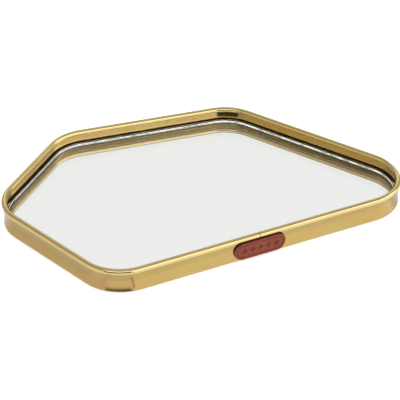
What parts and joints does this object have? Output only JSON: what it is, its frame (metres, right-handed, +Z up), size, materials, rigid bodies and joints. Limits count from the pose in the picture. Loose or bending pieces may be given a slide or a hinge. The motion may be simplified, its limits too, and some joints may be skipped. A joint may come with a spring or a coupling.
{
  "type": "dresser vanity tray",
  "caption": "Low tray with a mirror floor inside an irregular rounded metal rim, on a board base with rubber feet, for bottles and jewellery on a dresser.",
  "frame": {"origin": "middle of the tray's footprint, on the surface that its feet stand on", "axes": "+Z up; +X along the long front side, to its right as seen from the front; the labelled front side faces -Y"},
  "size_m": [0.3002, 0.1939, 0.021],
  "materials": {
    "band_metal": "satin gold",
    "zinc_steel": "zinc plated",
    "rivet_aluminium": "plain",
    "label_leather": "smooth, pressed pattern",
    "adhesive": "plain",
    "clear_glass": "polished face, ground edge",
    "silvering": "mirror",
    "safety_film": "matt",
    "foam_tape": "foam",
    "clear_rubber": "translucent",
    "fibreboard": "raw fibreboard",
    "felt": "felt",
    "screw_steel": "zinc plated",
    "foot_rubber": "matt"
  },
  "bodies": {
    "root": {"frame_band": "band_metal", "base_ring": "zinc_steel", "splice_bracket": "zinc_steel", "splice_rivets": "rivet_aluminium", "label_tag": "label_leather", "label_adhesive": "adhesive", "mirror_glass": "clear_glass", "mirror_silvering": "silvering", "mirror_safety_film": "safety_film", "mirror_tape_strips": "foam_tape", "glass_edge_spacers": "clear_rubber", "base_board": "fibreboard", "base_felt": "felt", "board_screws": "screw_steel", "foot_front": "foot_rubber", "foot_right": "foot_rubber", "foot_back": "foot_rubber", "foot_back_left": "foot_rubber", "foot_left": "foot_rubber", "foot_washers": "zinc_steel", "foot_screws": "screw_steel"}
  },
  "joints": []
}
